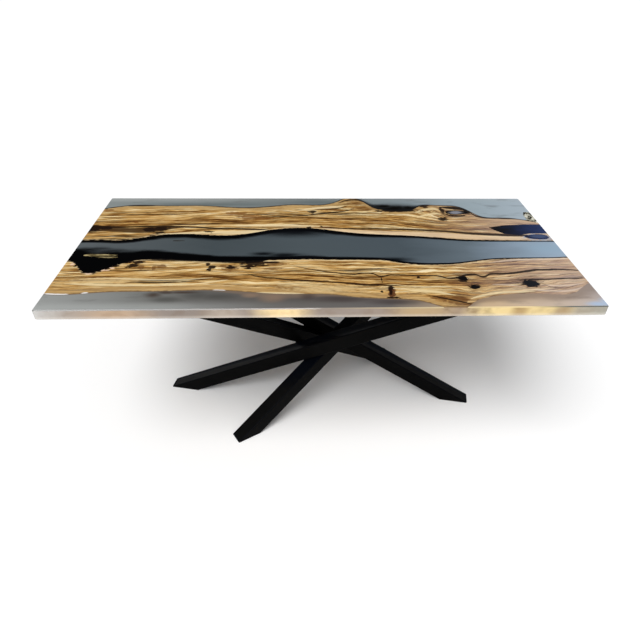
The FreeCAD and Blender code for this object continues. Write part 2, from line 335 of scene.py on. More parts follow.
# %% [markdown]
# ## The live edges
# Grain runs with the tree, so it follows the live edges, and the resin looks black where it lies thinly
# over the bark on the sloping edge. Both patterns need the edges' lines. Copying them from the drawing
# would let them drift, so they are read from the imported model: a board's corner that touches the resin
# is on an edge.

# %% Read the live edges
touching = 0.0002
river = ["resin_river"]
front_strip = ["resin_front_left", "resin_front_right"]
back_strip = ["resin_back_left", "resin_back_right"]


def live_edge(board, resins, level):
    """Points (along, across) of a board's edge at one level, where it touches the resin."""
    found = set()
    for resin in resins:
        mesh = solids[resin].data
        shell = BVHTree.FromPolygons([v.co for v in mesh.vertices], [p.vertices for p in mesh.polygons])
        for corner in solids[board].data.vertices:
            if abs(corner.co.z - level) < touching and shell.find_nearest(corner.co)[3] < touching:
                found.add((round(corner.co.x, 3), round(corner.co.y, 4)))
    points = {}
    for along, across in sorted(found):
        points.setdefault(along, across)
    return list(points.items())


edges = {}
for board, side, resins in (("front_board", "back", river), ("front_board", "front", front_strip),
                            ("back_board", "front", river), ("back_board", "back", back_strip)):
    for level_name, level in (("top", surface), ("under", underside)):
        edges[board, side, level_name] = live_edge(board, resins, level)
print("edge points:", {" ".join(key): len(points) for key, points in edges.items()})

# %% Calmer lines for the grain
calm_reach = 0.30
calm_points = 24
calm_reads = 4


def read_line(points, along):
    """The place across of a line of points at one place along it."""
    for (a0, b0), (a1, b1) in zip(points, points[1:]):
        if along <= a1:
            return b0 + (b1 - b0) * max(0, along - a0) / (a1 - a0)
    return points[-1][1]


def eased(points):
    """A calmer line, for grain that ignores the small bumps of an edge."""
    calm = []
    for step in range(calm_points + 1):
        along = (step / calm_points - 0.5) * top_length
        reads = range(-calm_reads, calm_reads + 1)
        near = [read_line(points, along + calm_reach * k / calm_reads) for k in reads]
        calm.append((along, sum(near) / len(near)))
    return calm


print("grain eased over", calm_reach, "m to either side")

# %% [markdown]
# ## Streaky hardwood
# The boards are golden, with cream and dark-brown streaks that run along the tree, part round knots and
# end in filled cracks. One noise, stretched along the board, gives streaks, but straight ones. So the
# place across the board is measured between its two live edges first, then bent round each knot, and
# only then given to the noise. The streaks, cracks and knots that give these boards their own face are
# laid in one by one.

# %% Marks laid in one by one
streak_taper = 0.004
thinnest_streak = 0.0018
# A curve node is coarse, so a streak's small widths are drawn enlarged
enlarged = 10


def seen_spot(pixel_x, pixel_y, half_wide, half_high):
    """A mark's middle and half sizes, along and across in metres, from its pixels."""
    along, across = on_surface(pixel_x, pixel_y)
    half_length = on_surface(pixel_x + half_wide, pixel_y)[0] - along
    half_width = on_surface(pixel_x, pixel_y - half_high)[1] - across
    return along, across, half_length, half_width


def away_from(x, y, row):
    """How far a point is from the middle of an oval mark, 1 at its rim."""
    along, across, half_length, half_width = seen_spot(*row)
    return (((x - along) / half_length) ** 2 + ((y - across) / half_width) ** 2) ** 0.5


def streak(x, y, rows, wander):
    """How much a point lies on a streak: rows of (pixel x, pixel y, half height in pixels)."""
    cast = [seen_spot(pixel_x, pixel_y, 1, half) for pixel_x, pixel_y, half in rows]
    middle = line_at(x, [(along, across) for along, across, _, _ in cast])
    half_width = line_at(x, [(along, half * enlarged) for along, _, _, half in cast]) / enlarged
    start, end = cast[0][0], cast[-1][0]
    begun = x.rise(start - streak_taper, start + streak_taper)
    between = begun * x.rise(end + streak_taper, end - streak_taper)
    return abs(y - middle + wander).rise(half_width * 1.25 + thinnest_streak, half_width * 0.7) * between


def spot(x, y, row, ragged):
    """How much a point lies on a ragged mark: (pixel x, pixel y, half width, half height)."""
    return (away_from(x, y, row) + ragged).rise(1.08, 0.80)


def stain(x, y, row, ragged):
    """A mark like a spot that fades out slowly."""
    return (away_from(x, y, row) + ragged).rise(1.6, 0.1)


def lay_marks(colour, x, y, marks, wander, ragged):
    """Lays groups of marks over a colour, each group (kind, tone, strength, table)."""
    for kind, tone, strength, table in marks:
        share = None
        for row in table:
            mark = kind(x, y, row, wander if kind is streak else ragged)
            share = mark if share is None else share.at_least(mark)
        colour = paint(share * strength, colour, shade(tone))
    return colour


pixel_size = [round(size, 5) for size in seen_spot(*middle_pixels, 1, 1)[2:]]
print("a pixel in the middle of the picture covers", pixel_size, "m along and across")

# %% Grain
even_width = 0.26
fibre_lean = 0.7
knot_push = 0.45
# Each wave of the fibres: how often it comes in a metre along and across, its detail, and its sway in metres
grain_waves = ((2.3, 5, 1.0, 0.060), (10, 24, 2.0, 0.022), (45, 90, 1.0, 0.006))


def grain(x, y, z, low_edge, high_edge, knots):
    """A place across a board, in metres, that stays the same all along each fibre."""
    low = line_at(x, low_edge)
    high = line_at(x, high_edge)
    across = (y - low) / (high - low) * even_width + (z - surface) * fibre_lean
    wild = x.rise(-0.6, 0.3) * 0.65 + 0.35
    for often_along, often_across, detail, sway in grain_waves:
        wave = cloud(x * often_along, y * often_across, 0.0, detail) - 0.5
        across = across + wave * wild * sway
    for row in knots:
        along, place, half_length, half_width = seen_spot(*row)
        aside = (y - place) / half_width
        away = ((x - along) / half_length) ** 2 + aside ** 2
        across = across - aside * away.sum("EXPONENT", away * -1.0) * half_width * knot_push
    return across


print("grain waves:", len(grain_waves))

# %% The colours of wood
wood_tones = ((0.0, "#3d200a"), (0.20, "#74491b"), (0.40, "#b88948"), (0.58, "#d6ab67"), (0.80, "#f0d49c"),
              (1.0, "#fdedc6"))
end_tones = ((0.0, "#5c3f20"), (0.45, "#94703e"), (1.0, "#c4a066"))


def wood_colour(x, across, z):
    """Golden wood: broad bands, streaks, short dashes and two sorts of dark vein. Also gives the dashes."""
    bands = cloud(x * 1.0, across * 24, z * 6, 2.0).rise(0.36, 0.64)
    streaks = cloud(x * 5, across * 95, z * 20, 3.0, 0.65).rise(0.38, 0.62)
    dashes = cloud(x * 16, across * 160, z * 40, 3.0, 0.6).rise(0.34, 0.66)
    colour = tones(bands * 0.28 + streaks * 0.38 + dashes * 0.34, *wood_tones)
    thin = abs(cloud(x * 3.0 + 3.0, across * 85, z * 15, 3.0, 0.6) - 0.5).rise(0.045, 0.010)
    colour = paint(thin * 0.7, colour, shade("#452a10"))
    bold = abs(cloud(x * 1.1 + 7.0, across * 40, z * 8, 3.0) - 0.5).rise(0.030, 0.008)
    patchy = cloud(x * 2.2, across * 26 + 3.0, 0.0, 2.0).rise(0.40, 0.62)
    return paint(bold * patchy * 0.9, colour, shade("#241308")), dashes


def end_grain(x, y, z, heart):
    """Growth rings on a sawn end, round the heart of the tree (across, up)."""
    wobble = (cloud(y * 18, z * 18, x, 2.0) - 0.5) * 0.012
    away = ((y - heart[0]) ** 2 + (z - heart[1]) ** 2) ** 0.5 + wobble
    rings = cloud(away * 330, x * 3, 0.0, 2.0, 0.6).rise(0.34, 0.66)
    return tones(rings, *end_tones)


print("wood tones:", len(wood_tones), "on the face,", len(end_tones), "on the ends")

# %% [markdown]
# ### The front face
# The front of the top is not one colour: the resin is grey at the left-hand corner, lets the wood
# behind it show as peach patches along the middle, carries a cream patch of painted glow a little left
# of the middle, and is golden on the right, where the board is close behind. A plain row of tones runs
# along the face, and each patch is laid over it: its middle along the table, its half length and its tone.

# %% The front face
face_tones = ((0.0, "#c6c5c2"), (0.06, "#a3978c"), (0.24, "#857970"), (0.55, "#93857a"), (0.73, "#97816a"),
              (0.79, "#e4cb8e"), (0.90, "#dcc48a"), (0.945, "#a89f8b"), (1.0, "#a2a196"))
face_glimpses = (
    ("peach near the left-hand corner", -0.65, 0.12, "#b59a80"),
    ("pale resin", -0.32, 0.07, "#a89a8c"),
    # Painted highlight: a cream patch of warm light in the resin, left of the middle
    ("cream, a painted warm glow in the resin", -0.14, 0.095, "#f5d8a2"),
    ("tan in front of the bump", 0.30, 0.11, "#b0966f"),
    ("brown gap", 0.613, 0.030, "#b39560"),
    ("brown gap near the right-hand corner", 0.753, 0.036, "#a9916a"))


def front_face(x, z):
    """The colour of the top's front face."""
    blur = (cloud(x * 9, z * 20, 0.0, 2.0) - 0.5) * 0.036
    colour = tones((x + blur) / top_length + 0.5, *face_tones)
    for _, along, half_length, tone in face_glimpses:
        near = abs(x + blur - along).rise(half_length * 1.3, half_length * 0.15)
        colour = paint(near, colour, shade(tone))
    smudges = cloud(x * 24, z * 34, 4.0, 2.0).rise(0.42, 0.70)
    wood_behind = x.rise(0.30, 0.38) * x.rise(0.56, 0.46)
    colour = paint(smudges * (wood_behind * 0.40 + 0.2), colour, shade("#6f5433"))
    # Painted highlight: a pale band along the lower edge of the front face
    return paint((z - underside).rise(0.016, 0.003) * 0.35, colour, shade("#e6ded4"))


print("front face:", [name for name, *_ in face_glimpses])

# %% [markdown]
# ### A board
# A board is not the same all over: its wood is paler along the river, stained by bark along its outer
# edge, greyer at the right-hand end, and black where it is torn. A picture of wood could carry all
# this, but it would not follow the edges. So each is laid over the grain by how far a point is from the
# edge or the end concerned, most with a rough rim, and a clear coat of lacquer covers all.

# %% A board's finish
def rim_tones(colour, x, board, river_side, outer_side, rough):
    """Paler wood along the river, and bark-stained wood along the outer edge."""
    colour = paint((river_side + rough * 0.012).rise(0.015, 0.004) * 0.6, colour, shade("#ead0a2"))
    bark_share = x.rise(0.56, 0.40) * 0.7 if board == "front_board" else 0.7
    stained = (outer_side + rough * 0.030).rise(0.046, 0.016)
    colour = paint(stained * bark_share, colour, shade("#bd9a66"))
    bark = (outer_side + rough * 0.010).rise(0.006, 0.001)
    return paint(bark * bark_share, colour, shade("#3c2412"))


def right_end_tones(colour, x, across, z):
    """Greyer wood with thin brown lines towards the right-hand end."""
    colour = paint(x.rise(0.36, 0.86) * 0.55, colour, shade("#cbb2a4"))
    lines = abs(cloud(x * 2.2 + 11.0, across * 62, z * 15, 3.0) - 0.5).rise(0.028, 0.006)
    return paint(lines * x.rise(0.25, 0.50) * 0.75, colour, shade("#4b3126"))


def torn_rim(colour, x, river_side, ragged):
    """The black rim of the wood against the river, torn widest round the pocket at the left-hand end."""
    pocket = x.rise(-0.52, -0.62)
    torn = river_side + ragged * (pocket * 0.016 + 0.005)
    return paint(torn.rise(pocket * 0.009 + 0.004, 0.001), colour, shade("#140b06"))


lacquer = {"Roughness": 0.45, "Specular IOR Level": 0.1, "Coat Weight": 1.0, "Coat Roughness": 0.06}


def board_finish(board, knots, marks, heart):
    """A lacquered board: grain, rims along its live edges, listed marks and sawn faces."""
    material, shader, (x, y, z) = finish(board + "_wood")
    front = edges[board, "front", "top"]
    back = edges[board, "back", "top"]
    across = grain(x, y, z, eased(front), eased(back), knots)
    colour, dashes = wood_colour(x, across, z)
    rough = cloud(x * 60, y * 90, 0.0, 3.0) - 0.5
    ragged = rough * 1.4 + (cloud(x * 38, across * 150, 0.0, 3.0, 0.6) - 0.5) * 2.4
    from_front = y - line_at(x, front, True)
    from_back = line_at(x, back, True) - y
    river_side = from_back if board == "front_board" else from_front
    outer_side = from_front if board == "front_board" else from_back
    colour = rim_tones(colour, x, board, river_side, outer_side, rough)
    colour = right_end_tones(colour, x, across, z)
    colour = torn_rim(colour, x, river_side, ragged)
    colour = lay_marks(colour, x, y, marks, rough * 0.004, ragged)
    facing = facing_wires(x.tree)
    colour = paint(abs(facing[0]).rise(0.8, 0.95), colour, end_grain(x, y, z, heart))
    colour = paint(facing[1].rise(-0.6, -0.9), colour, front_face(x, z))
    fit(shader, {"Base Color": colour, **lacquer})
    rub(shader, dashes, 0.2, 0.0003)
    return material


def dress(names, material):
    """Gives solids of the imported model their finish."""
    for name in names:
        solids[name].data.materials.clear()
        solids[name].data.materials.append(material)


print("board finish ready")

# %% The front board's marks
front_knots = ((80, 266, 30, 9), (131, 264, 22, 8), (253, 264, 26, 8), (391, 292, 16, 9),
               (463, 278.5, 18, 7), (474.5, 287, 18, 7), (530, 283, 24, 9), (456, 300, 26, 9))
front_marks = (
    (streak, "#f6e4b6", 0.6, (
        ((79, 279.3, 0), (105, 278.2, 0.4), (136, 279.2, 0.7), (162, 279.8, 0.5), (188, 279.5, 0.4),
         (200, 278.6, 0.3), (213, 277.6, 0)),
        ((64, 283.5, 0), (79, 284.3, 0.5), (117, 285.0, 0.9), (149, 285.2, 0.6), (188, 284.4, 0.5),
         (213, 281.8, 0.6), (228, 279.6, 0)),
        ((255, 292.6, 0), (271, 293.0, 0.7), (290, 293.2, 0.6), (304, 293.6, 0)),
        ((406, 290.0, 0), (422, 290.6, 1.0), (440, 292.4, 0.9), (456, 295.4, 0)),
        ((470, 299.0, 0), (482, 295.6, 0.8), (500, 292.6, 0.9), (520, 291.8, 0.8), (535, 291.5, 0)))),
    (stain, "#ecd29c", 0.55, (
        (330, 288.5, 40, 3.6), (300, 284.5, 24, 2.6), (425, 291, 20, 2.4), (100, 281.5, 40, 3.0))),
    # Painted highlights: white glints along the front edge of the board
    (streak, "#ffffff", 0.9, (
        ((44, 293.6, 0), (52, 294.3, 0.5), (64, 294.4, 0.4), (68, 294.2, 0)),
        ((81, 293.4, 0), (84, 293.0, 0.5), (88, 292.8, 0)),
        ((211, 290.7, 0), (216, 290.3, 0.6), (220, 290.5, 0.6), (225, 290.2, 0)))),
    (streak, "#efdcc8", 0.45, (
        ((533, 289.6, 0), (548, 290.6, 0.8), (562, 291.0, 0.8), (574, 289.8, 0.6), (584, 286.6, 0)),
        ((540, 284.6, 0), (556, 285.6, 0.6), (572, 285.0, 0.5), (584, 282.8, 0)),
        ((492, 284.4, 0), (506, 284.8, 0.4), (518, 286.0, 0.3), (526, 287.4, 0)),
        ((488, 262.8, 0), (510, 260.3, 0.7), (540, 259.1, 0.8), (562, 258.4, 0.7), (568, 258.2, 0)))),
    (streak, "#5a4038", 0.8, (
        ((541, 283.0, 0), (552, 287.0, 0.35), (562, 288.0, 0.3), (578, 284.8, 0)),
        ((484, 279.6, 0), (500, 280.4, 0.35), (514, 279.8, 0.3), (522, 279.0, 0)),
        ((496, 265.6, 0), (520, 264.4, 0.35), (548, 265.0, 0.3), (572, 264.6, 0)))),
    (stain, "#3a2010", 0.55, ((464, 279.2, 8, 3.6), (475, 287.2, 8.5, 2.8), (531, 282.4, 13, 4.4))),
    # Painted highlights: pink glints on the rim next to the pocket
    (spot, "#f2d0b4", 0.8, (
        (88, 273.6, 4, 1.0), (103, 270.4, 6, 0.9), (111, 268.2, 4, 0.8), (72, 264.5, 3, 1.2))),
    (spot, "#6b4420", 0.75, (
        (141.6, 267.2, 3.4, 2.2), (154, 267.6, 2.4, 2.4), (161.5, 266.4, 6, 1.6), (229.6, 267.8, 9, 3.0),
        (224, 266.3, 5, 1.4), (275, 263.7, 13, 1.4), (272, 268.6, 9, 1.0), (440, 297.8, 10, 1.8),
        (458, 300.6, 13, 3.0), (468, 303.8, 8, 1.6))),
    (spot, "#4f2412", 0.9, ((392, 292.4, 3.8, 6.0),)),
    (spot, "#1c0d06", 0.97, (
        (99, 270.8, 3, 1.0), (107, 268.6, 3, 1.0), (115, 265.8, 4, 1.4), (76, 265.6, 2, 1.4),
        (80, 269.4, 2, 1.2), (127, 261.6, 7, 2.2), (133, 265.2, 5, 2.0), (129, 267.0, 4, 1.0),
        (138, 262.0, 7, 1.7), (208.0, 264.6, 2.2, 1.6), (211.5, 267.4, 4.2, 1.7),
        (208.6, 269.6, 2.6, 1.5), (231, 267.4, 5, 1.8), (254, 262.8, 13, 2.6), (249, 266.2, 8, 1.8),
        (247, 268.6, 5, 0.8), (268, 262.4, 11, 1.0), (262, 265.4, 7, 0.7), (418.6, 277.4, 2.2, 1.3),
        (391.0, 287.4, 3.4, 1.8), (390.6, 291.5, 1.6, 3.4), (394, 297.6, 7, 1.1), (382, 291.5, 1.4, 1.3),
        (381.6, 279.3, 0.7, 3.6), (462.8, 278.5, 6.0, 3.2), (474.6, 286.9, 6.0, 2.2),
        (530, 283.0, 9.2, 3.9))),
    (streak, "#0b0706", 0.97, (
        ((138, 258.4, 0), (150, 258.4, 1.2), (162, 258.9, 1.7), (187, 259.6, 1.6), (213, 260.6, 1.4),
         (242, 261.6, 1.7), (256, 261.0, 1.2), (268, 260.2, 0)),)),
    (streak, "#1d0f07", 0.96, (
        ((296, 266.5, 0), (316, 270.2, 0.3), (332, 272.3, 0.45), (355, 274.2, 0.5), (362, 273.2, 0.4),
         (372, 273.5, 0.45), (381.6, 276.3, 0.6), (392, 274.8, 0.4), (406, 275.2, 0.4), (420, 275.7, 0.5),
         (437, 275.7, 0.5), (450.6, 278.4, 0.6), (458, 277.4, 0.7), (467, 274.8, 0.8), (475, 274.4, 0.8),
         (482.5, 276.8, 0.8), (491, 273.9, 0.7), (508, 273.5, 0.8), (528, 271.0, 0.9), (537, 269.7, 0.8),
         (558, 269.6, 0.6), (579, 270.3, 0.4)),
        ((247, 273.5, 0), (259, 276.7, 0.4), (273, 278.0, 0.4), (281, 278.9, 0.5), (304, 280.6, 0.5),
         (323, 281.6, 0.5), (348, 283.1, 0.6), (367, 285.0, 0.7), (379, 285.0, 0.6), (404, 285.7, 0)),
        ((426, 294.8, 0), (445, 298.4, 0.5), (460, 301.4, 0.6), (476, 305.0, 0)),
        ((124, 282.2, 0), (149, 282.6, 0.5), (175, 282.2, 0.5), (199, 281.0, 0)),
        ((518, 279.5, 0), (530, 279.2, 0.5), (542, 279.3, 0.6), (562, 278.6, 0.5), (583, 278.0, 0.2)))),
)
front_heart = (-0.30, surface - 0.17)
dress(["front_board"], board_finish("front_board", front_knots, front_marks, front_heart))
print("front board:", len(front_knots), "knots and", sum(len(table) for *_, table in front_marks), "marks")

# %% The back board's marks
back_knots = ((160, 231, 26, 6), (209, 232, 20, 4), (250, 216, 34, 7), (353, 204, 30, 9),
              (430, 212, 26, 9), (454, 212, 24, 8), (538, 237, 30, 8), (312, 212, 20, 5))
back_marks = (
    (streak, "#f2dcae", 0.8, (
        ((224, 225.4, 0), (250, 225.4, 0.8), (280, 225.4, 1.0), (306, 226.0, 0.6), (330, 226.6, 0)),
        ((296, 211.0, 0), (312, 208.6, 0.7), (328, 207.4, 0.9), (344, 206.8, 0)),
        ((150, 234.2, 0), (181, 233.4, 0.6), (200, 232.6, 0.9), (219, 232.4, 1.3), (240, 232.2, 1.6),
         (260, 230.8, 0.9), (268, 229.4, 0)))),
    (streak, "#f0d5b0", 0.68, (
        ((322, 228.0, 0), (348, 231.0, 1.3), (380, 232.8, 1.8), (440, 235.0, 2.2), (480, 237.2, 1.7),
         (520, 238.0, 1.3), (530, 237.8, 0)),)),
    (streak, "#f0d9a8", 0.8, (
        ((415, 212.6, 0), (424, 209.8, 0.9), (433, 208.9, 0.9), (440, 210.4, 0)),
        ((416, 217.2, 0), (428, 214.8, 0.8), (436, 213.6, 0.7), (441, 214.2, 0)))),
    (streak, "#3f2812", 0.92, (
        ((78, 229.2, 4.0), (92, 228.8, 3.4), (102, 228.6, 2.8), (117, 229.3, 2.4), (131, 230.2, 2.2),
         (149, 229.8, 2.7), (162, 228.8, 2.2), (175, 227.6, 1.0), (190, 227.0, 0)),)),
    (spot, "#7a4a1e", 0.7, (
        (235, 213.5, 11, 1.8), (250, 217.0, 13, 2.4), (263, 218.2, 11, 1.3), (109, 210.2, 6, 1.2),
        (136, 222, 2.2, 1.5), (332, 209.8, 9, 0.9))),
    (stain, "#6a4220", 0.55, ((353, 203.0, 12, 3.0), (362, 208.0, 12, 3.0))),
    # Painted light: the lit oval hole, pale grey-blue
    (spot, "#a9adb6", 0.85, ((538.5, 237.2, 15, 3.8),)),
    (spot, "#1c0f08", 0.95, (
        (90, 228.9, 14, 3.4), (104, 228.0, 9, 1.9), (150, 229.6, 8, 2.4), (161, 228.8, 8, 2.2),
        (160, 232.9, 5, 1.1), (209.2, 231.8, 5, 1.1), (308.9, 227.7, 2.4, 1.0), (321.6, 226.6, 2.0, 0.8),
        (443, 219.0, 4.8, 1.8), (312.5, 212.0, 4.0, 1.4), (442, 210.5, 2.6, 3.2), (467, 211.5, 3.0, 2.6),
        (424, 206.5, 5, 1.6), (395, 210.9, 22, 1.2))),
    (streak, "#120a06", 0.97, (
        ((440, 207.0, 0), (446, 207.6, 1.0), (456, 208.3, 1.4), (466, 209.9, 1.2), (470, 211.8, 0)),
        ((443, 213.2, 0), (450, 215.4, 0.7), (460, 215.9, 0.6), (467, 214.8, 0)))),
    (streak, "#1f120a", 0.94, (
        ((92, 226.0, 0.4), (117, 227.0, 0.7), (131, 226.8, 0.6), (149, 226.4, 0.8), (166, 226.4, 0.7),
         (182, 226.8, 0.7), (200, 227.4, 0.7), (219, 228.6, 0.8), (239, 228.8, 0.7), (260, 229.4, 0.6),
         (274, 228.5, 0)),
        ((322, 226.6, 0), (348, 228.7, 0.5), (380, 228.9, 0.6), (441, 231.0, 0.9), (471, 233.4, 1.1),
         (497, 234.7, 1.2), (522, 235.4, 0.8), (530, 235.2, 0)),
        ((338, 203.4, 0), (345, 200.8, 0.5), (354, 199.8, 0.6), (362, 201.0, 0.7), (370, 204.2, 0.9),
         (378, 207.8, 0.9), (388, 210.2, 0.7), (404, 211.0, 0.7), (418, 209.6, 0)),
        ((263, 217.4, 0), (282, 216.5, 0.4), (304, 215.5, 0.4), (322, 213.6, 0.5), (345, 212.5, 0)),
        ((128, 206.2, 0), (136, 205.7, 0.5), (148, 205.8, 0.4), (156, 206.0, 0)),
        ((312, 209.9, 0), (324, 209.1, 0.4), (336, 208.6, 0.4), (348, 205.6, 0)),
        ((315, 213.0, 0), (330, 212.4, 0.4), (344, 211.2, 0.4), (354, 208.4, 0)),
        ((467, 209.6, 0), (472, 214.0, 0.9), (480, 217.0, 0.8), (500, 218.3, 0.6), (520, 219.0, 0.6),
         (530, 221.5, 0)))),
)
back_heart = (0.28, surface - 0.20)
dress(["back_board"], board_finish("back_board", back_knots, back_marks, back_heart))
print("back board:", len(back_knots), "knots and", sum(len(table) for *_, table in back_marks), "marks")

# %% [markdown]
# ## Smoky resin
# Clear resin with smoke-grey pigment looks grey where it is deep, black where it lies over the bark of
# a sloping edge, and warm where a lit board shows through it. Real see-through resin is slow and noisy
# to render, so its look is worked out instead: how far the bark has sunk at each place, from the edge
# at the surface and the edge at the underside.

# %% The river
def sunk_edge(x, y, board, side, outward):
    """How deep a board's sloping edge lies under a point: 0 at the surface, 1 at the underside."""
    at_top = line_at(x, edges[board, side, "top"], True)
    at_under = line_at(x, edges[board, side, "under"], True)
    return (y - at_top) * outward / ((at_under - at_top) * outward).at_least(0.004)


def polished(material, shader, colour):
    """The material, hard, clear and polished over a colour."""
    fit(shader, {"Base Color": colour, "Roughness": 0.06, "IOR": 1.5})
    return material


# Lighter and bluer towards the right-hand end: partly the resin's smoke, partly a painted reflection of the
# glow
river_tones = ((0.0, "#5c6265"), (0.27, "#454d51"), (0.47, "#4c555a"), (0.66, "#4a545b"),
               (0.80, "#626e77"), (1.0, "#97aabd"))
river_marks = (
    (stain, "#05060a", 0.95, (
        (264, 253.8, 13, 2.0), (284, 255.0, 20, 2.2), (306, 256.8, 16, 1.8), (392, 259.8, 20, 2.4),
        (294, 232.2, 38, 4.4))),
    # Painted reflection: a pale blue patch of the glow in the river
    (stain, "#8fa9bd", 0.6, ((548, 248.5, 24, 5),)),
)


def river_finish():
    """The resin between the boards. The bark under it reaches further out towards the left-hand end."""
    material, shader, (x, y, z) = finish("river_resin")
    smoke = cloud(x * 3, y * 9, z * 9, 3.0)
    colour = tones(x / top_length + 0.5 + (smoke - 0.5) * 0.15, *river_tones)
    wisp = (cloud(x * 14, y * 40, 0.0, 3.0) - 0.5) * 0.5
    back_bark = (sunk_edge(x, y, "back_board", "front", -1) + wisp).rise(1.35, 0.65)
    further = x.rise(-0.05, -0.60) * 0.017
    front_bark = (sunk_edge(x, y - further, "front_board", "back", 1) + wisp).rise(1.30, 0.75)
    colour = paint(back_bark.at_least(front_bark), colour, shade("#020203"))
    colour = lay_marks(colour, x, y, river_marks, 0.0, wisp * 0.8)
    return polished(material, shader, colour)


dress(river, river_finish())
print("river dressed")

# %% The outer strips
# The chamfer's tones along the table; the golden stretch towards the right is a painted highlight
arris_and_highlight_tones = ((0.0, "#72726f"), (0.2, "#5f5c59"), (0.5, "#857a70"), (0.85, "#d8c28e"), (0.93, "#5f605a"))
back_face_tones = ((0.0, "#a79b95"), (1.0, "#c9c5c1"))


def strip_finish(name, board, side, outward, stops, bark, bark_share, marks):
    """The resin outside a board, with the board glimpsed through its face and a painted glow along its rim.
    """
    material, shader, (x, y, z) = finish(name)
    smoke = cloud(x * 4, y * 10, z * 10, 3.0)
    colour = tones(x / top_length + 0.5 + (smoke - 0.5) * 0.1, *stops)
    mottle = cloud(x * 9, y * 22, 3.0, 3.0)
    colour = paint(mottle.rise(0.52, 0.72) * 0.35, colour, shade("#575552"))
    # Painted glow: paler resin near the outer edge, as light let in through the thin resin, strongest at the
    # left
    painted_rim_glow = (y * -outward + top_width / 2).rise(0.055, 0.012)
    colour = paint(painted_rim_glow * (x.rise(-0.10, -0.55) * 0.30 + 0.10), colour, shade("#babdbb"))
    wisp = (cloud(x * 12, y * 25, 0.0, 3.0) - 0.5) * 0.6
    sunk = (sunk_edge(x, y, board, side, outward) + wisp).rise(1.2, 0.3)
    colour = paint(sunk * bark_share, colour, shade(bark))
    colour = lay_marks(colour, x, y, marks, 0.0, wisp)
    face = front_face(x, z) if outward < 0 else tones(smoke.rise(0.3, 0.7), *back_face_tones)
    facing_out = facing_wires(x.tree)[1] * outward
    # The chamfer, with its painted highlight towards the right
    colour = paint(facing_out.rise(0.4, 0.6), colour, tones(x / top_length + 0.5, *arris_and_highlight_tones))
    colour = paint(facing_out.rise(0.75, 0.95), colour, face)
    return polished(material, shader, colour)


front_strip_tones = ((0.0, "#989a98"), (0.16, "#7d7e7b"), (0.30, "#615f5c"), (0.45, "#585350"),
                     (0.62, "#564f4d"), (0.78, "#c9ac87"), (0.90, "#c7b19c"), (1.0, "#b8aeab"))
front_strip_marks = (
    (stain, "#3d2c22", 0.8, ((153, 295.0, 9, 3.0), (166, 292.6, 11, 1.6), (183, 292.4, 18, 1.4))),
    (stain, "#454441", 0.6, ((196, 295.5, 16, 3.6), (216, 296.5, 20, 3.0), (165, 299.5, 16, 3.0))),
    (stain, "#8a7462", 0.7, ((272, 298.0, 13, 4.0), (250, 295.5, 8, 2.2))),
    (stain, "#453d3b", 0.7, ((308, 296.5, 8, 3.2), (340, 299.0, 22, 3.0), (395, 302.3, 22, 2.6))),
    # Painted reflection: pale blue at the right-hand corner
    (stain, "#a9bdd6", 0.9, ((600, 304.0, 12, 2.6), (606, 303.0, 6, 4.0))),
)
# Lighter and bluer towards the right-hand end: partly the resin's own tone, partly a painted reflection of
# the glow
back_strip_tones = ((0.0, "#8b9291"), (0.25, "#7b8281"), (0.50, "#727a7b"), (0.70, "#7f8a8f"),
                    (0.85, "#98a6ad"), (1.0, "#a8b5bf"))
back_strip_marks = (
    (stain, "#0a0806", 1.0, ((394, 208.4, 24, 4.2), (384, 206.4, 14, 2.4), (408, 207.8, 12, 3.0))),
    # Painted shade: darker resin along the wood's back edge
    (stain, "#5f6868", 0.6, ((200, 204.6, 60, 1.4), (320, 202.5, 30, 2.0))),
)
dress(front_strip, strip_finish(
    "front_strip_resin", "front_board", "front", -1, front_strip_tones, "#7d6b5c", 0.7, front_strip_marks))
dress(back_strip, strip_finish(
    "back_strip_resin", "back_board", "back", 1, back_strip_tones, "#0c0d10", 0.9, back_strip_marks))
print("strips dressed:", front_strip + back_strip)

# %% [markdown]
# ## Fills, burl and splinters
# Resin that filled the knot holes is almost black, and navy where the sky gets into the rot pocket at
# the end. The bark ring has a pale hollow, and the oval hole beside the pocket is lit. Each hole could
# have a material of its own, but all are one pour, so one material serves and tells the holes apart by
# their places. The burl and the splinters have grain of their own.

# %% Fills
fill_tones = ((0.0, "#080607"), (0.30, "#090a12"), (0.60, "#111c3c"), (1.0, "#1d2e5a"))
hollow_tones = ((0.35, "#85868f"), (0.62, "#4a4748"), (0.85, "#0e0c0d"))
pocket_start, pocket_length = 0.66, 0.24
ring_hollow = (455, 212.5, 11, 2.4)
lit_oval = (538, 236.2, 11, 2.2)


def fill_finish():
    """Resin in the knot holes and the rot pocket."""
    material, shader, (x, y, z) = finish("fill_resin")
    smoke = cloud(x * 20, y * 30, z * 30, 3.0) - 0.5
    colour = tones((x - pocket_start) / pocket_length + smoke * 0.5, *fill_tones)
    in_ring = x.rise(0.50, 0.52) * x.rise(0.66, 0.64) * y.rise(0.10, 0.15)
    colour = paint(in_ring, colour, tones(away_from(x, y, ring_hollow) + smoke * 0.6, *hollow_tones))
    lit = (away_from(x, y, lit_oval) + smoke).rise(1.0, 0.4)
    colour = paint(lit * 0.35, colour, shade("#5f7296"))
    return polished(material, shader, colour)


fills = ["front_board_resin_fills", "back_board_resin_fills"]
dress(fills, fill_finish())
print("fills dressed:", fills)

# %% Burl and splinters
burl_tones = ((0.0, "#101012"), (0.35, "#4d4b40"), (0.6, "#a19d86"), (1.0, "#e6e4d8"))
splinter_tones = ((0.0, "#1b140c"), (0.45, "#5f5232"), (1.0, "#bfae80"))


